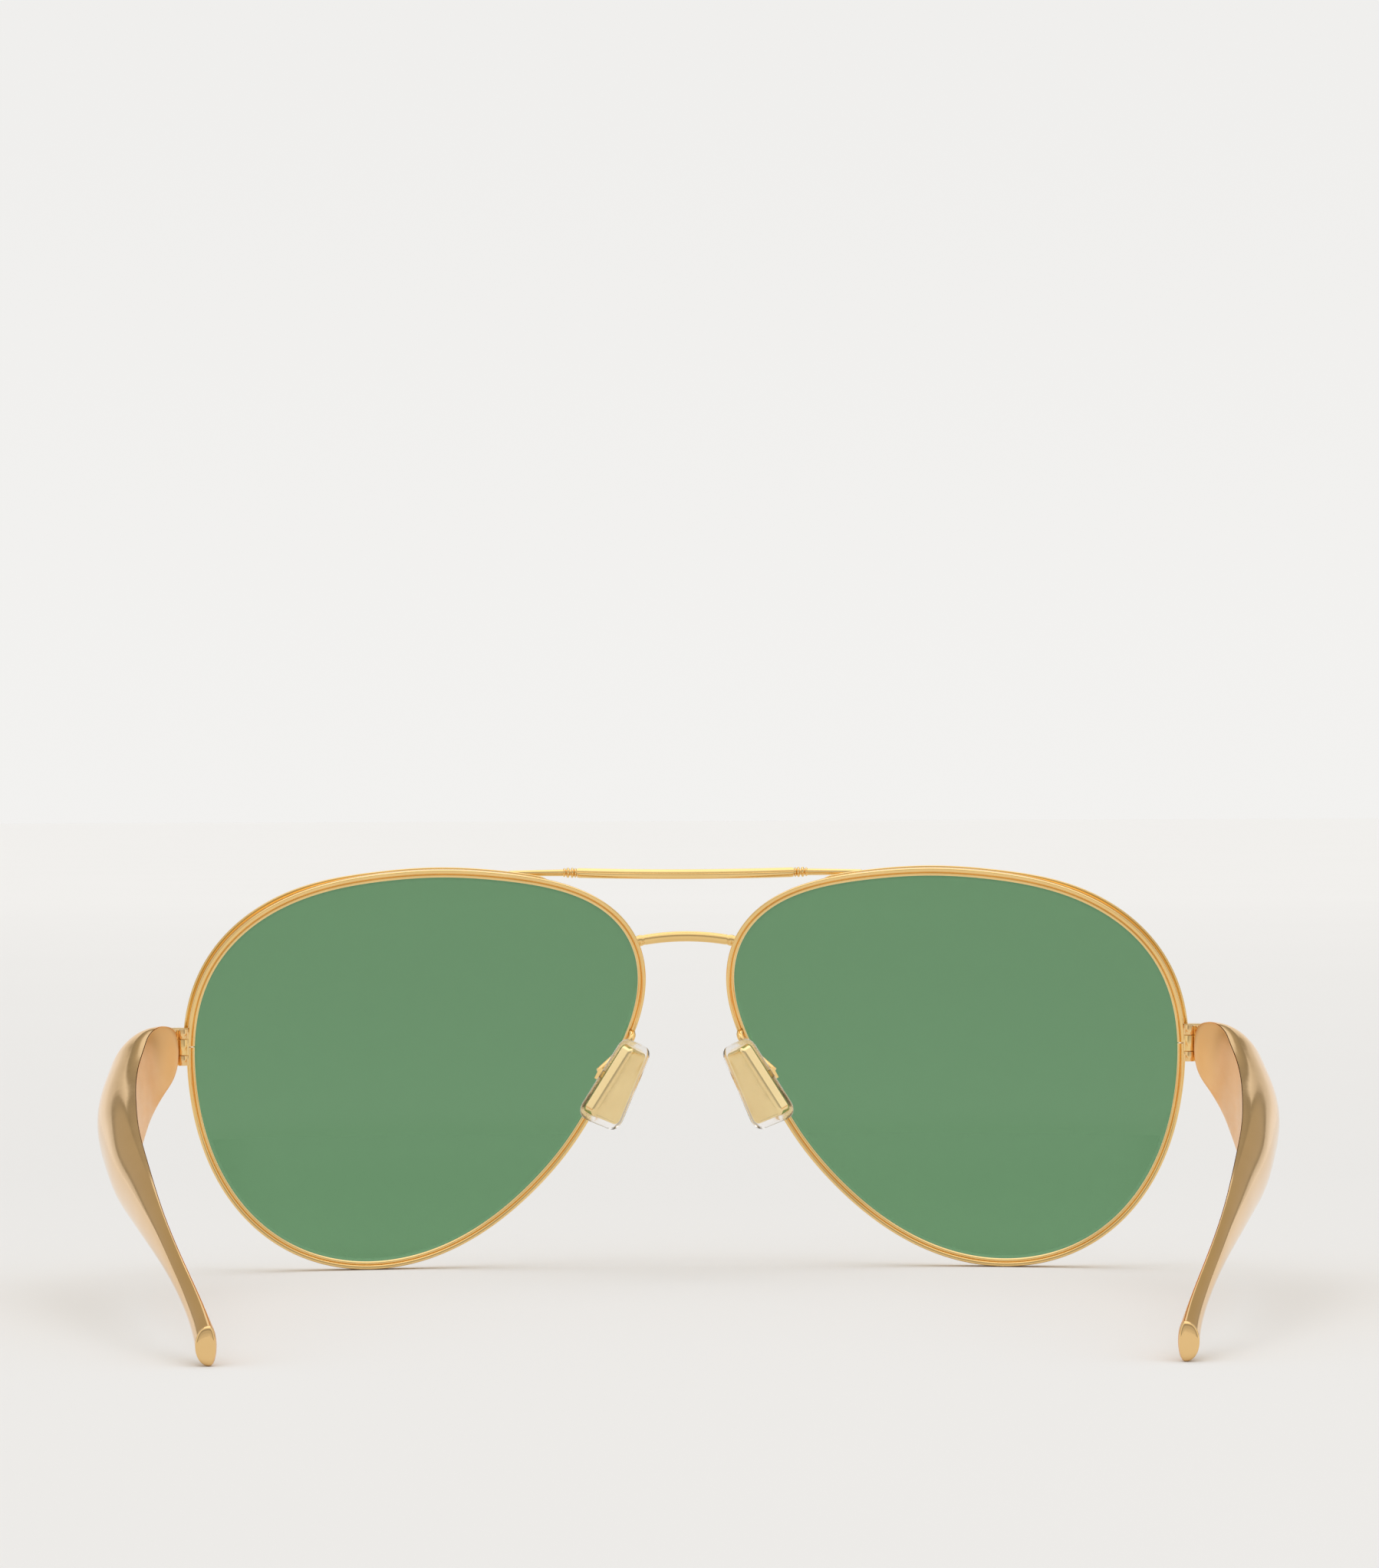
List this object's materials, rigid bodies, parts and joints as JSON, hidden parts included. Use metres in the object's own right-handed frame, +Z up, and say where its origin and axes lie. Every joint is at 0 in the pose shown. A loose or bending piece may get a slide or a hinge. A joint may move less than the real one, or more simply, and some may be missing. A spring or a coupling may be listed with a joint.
{
  "type": "aviator sunglasses",
  "caption": "Gold metal aviator sunglasses with green lenses, a brow bar over an arched bridge, clear nose pads and puffy folding temples.",
  "frame": {"origin": "middle of the footprint, on the surface that the open glasses stand on, touching it with the lower rims and the temple tips", "axes": "+Z up, +Y the way the lenses face, +X to the wearer's right"},
  "size_m": [0.1494, 0.1266, 0.0531],
  "materials": {
    "frame_gold": "polished light gold plating",
    "temple_gold": "polished light gold plating on a light core",
    "core_gold": "polished gold plate inside the pad",
    "screw_gold": "gold plated screws",
    "green_lens": "clear green tint, polished both sides",
    "clear_silicone": "clear soft silicone"
  },
  "bodies": {
    "front": {"brow_bar": "frame_gold", "bridge": "frame_gold", "rim_left": "frame_gold", "rim_right": "frame_gold", "lens_left": "green_lens", "lens_right": "green_lens", "brow_rail_left": "frame_gold", "brow_rail_right": "frame_gold", "brow_collar_left": "frame_gold", "brow_collar_right": "frame_gold", "brow_arm_left": "frame_gold", "brow_arm_right": "frame_gold", "end_piece_left": "frame_gold", "end_piece_right": "frame_gold", "closing_block_left": "frame_gold", "closing_block_right": "frame_gold", "closing_screw_left": "screw_gold", "closing_screw_right": "screw_gold", "pad_arm_left": "frame_gold", "pad_arm_right": "frame_gold", "pad_box_left": "frame_gold", "pad_box_right": "frame_gold", "pad_screw_left": "screw_gold", "pad_screw_right": "screw_gold"},
    "left_temple": {"temple_left": "temple_gold", "temple_tip_left": "temple_gold", "temple_hinge_left": "frame_gold", "hinge_screw_left": "screw_gold"},
    "right_temple": {"temple_right": "temple_gold", "temple_tip_right": "temple_gold", "temple_hinge_right": "frame_gold", "hinge_screw_right": "screw_gold"},
    "left_pad": {"nose_pad_left": "clear_silicone", "pad_core_left": "core_gold"},
    "right_pad": {"nose_pad_right": "clear_silicone", "pad_core_right": "core_gold"}
  },
  "joints": [
    {"name": "left_temple_fold", "type": "hinge", "parent": "front", "child": "left_temple", "pos_m": [-0.066, 0.05157, 0.02975], "axis": [0, 0, 1], "range_deg": [0, 84]},
    {"name": "right_temple_fold", "type": "hinge", "parent": "front", "child": "right_temple", "pos_m": [0.066, 0.05157, 0.02975], "axis": [0, 0, -1], "range_deg": [0, 79]},
    {"name": "left_pad_rock", "type": "hinge", "parent": "front", "child": "left_pad", "pos_m": [-0.0106, 0.05573, 0.02538], "axis": [-0.5001, -0.8261, 0.2599], "range_deg": [-6, 6]},
    {"name": "right_pad_rock", "type": "hinge", "parent": "front", "child": "right_pad", "pos_m": [0.0106, 0.05573, 0.02538], "axis": [0.5001, -0.8261, 0.2599], "range_deg": [-6, 6]}
  ]
}
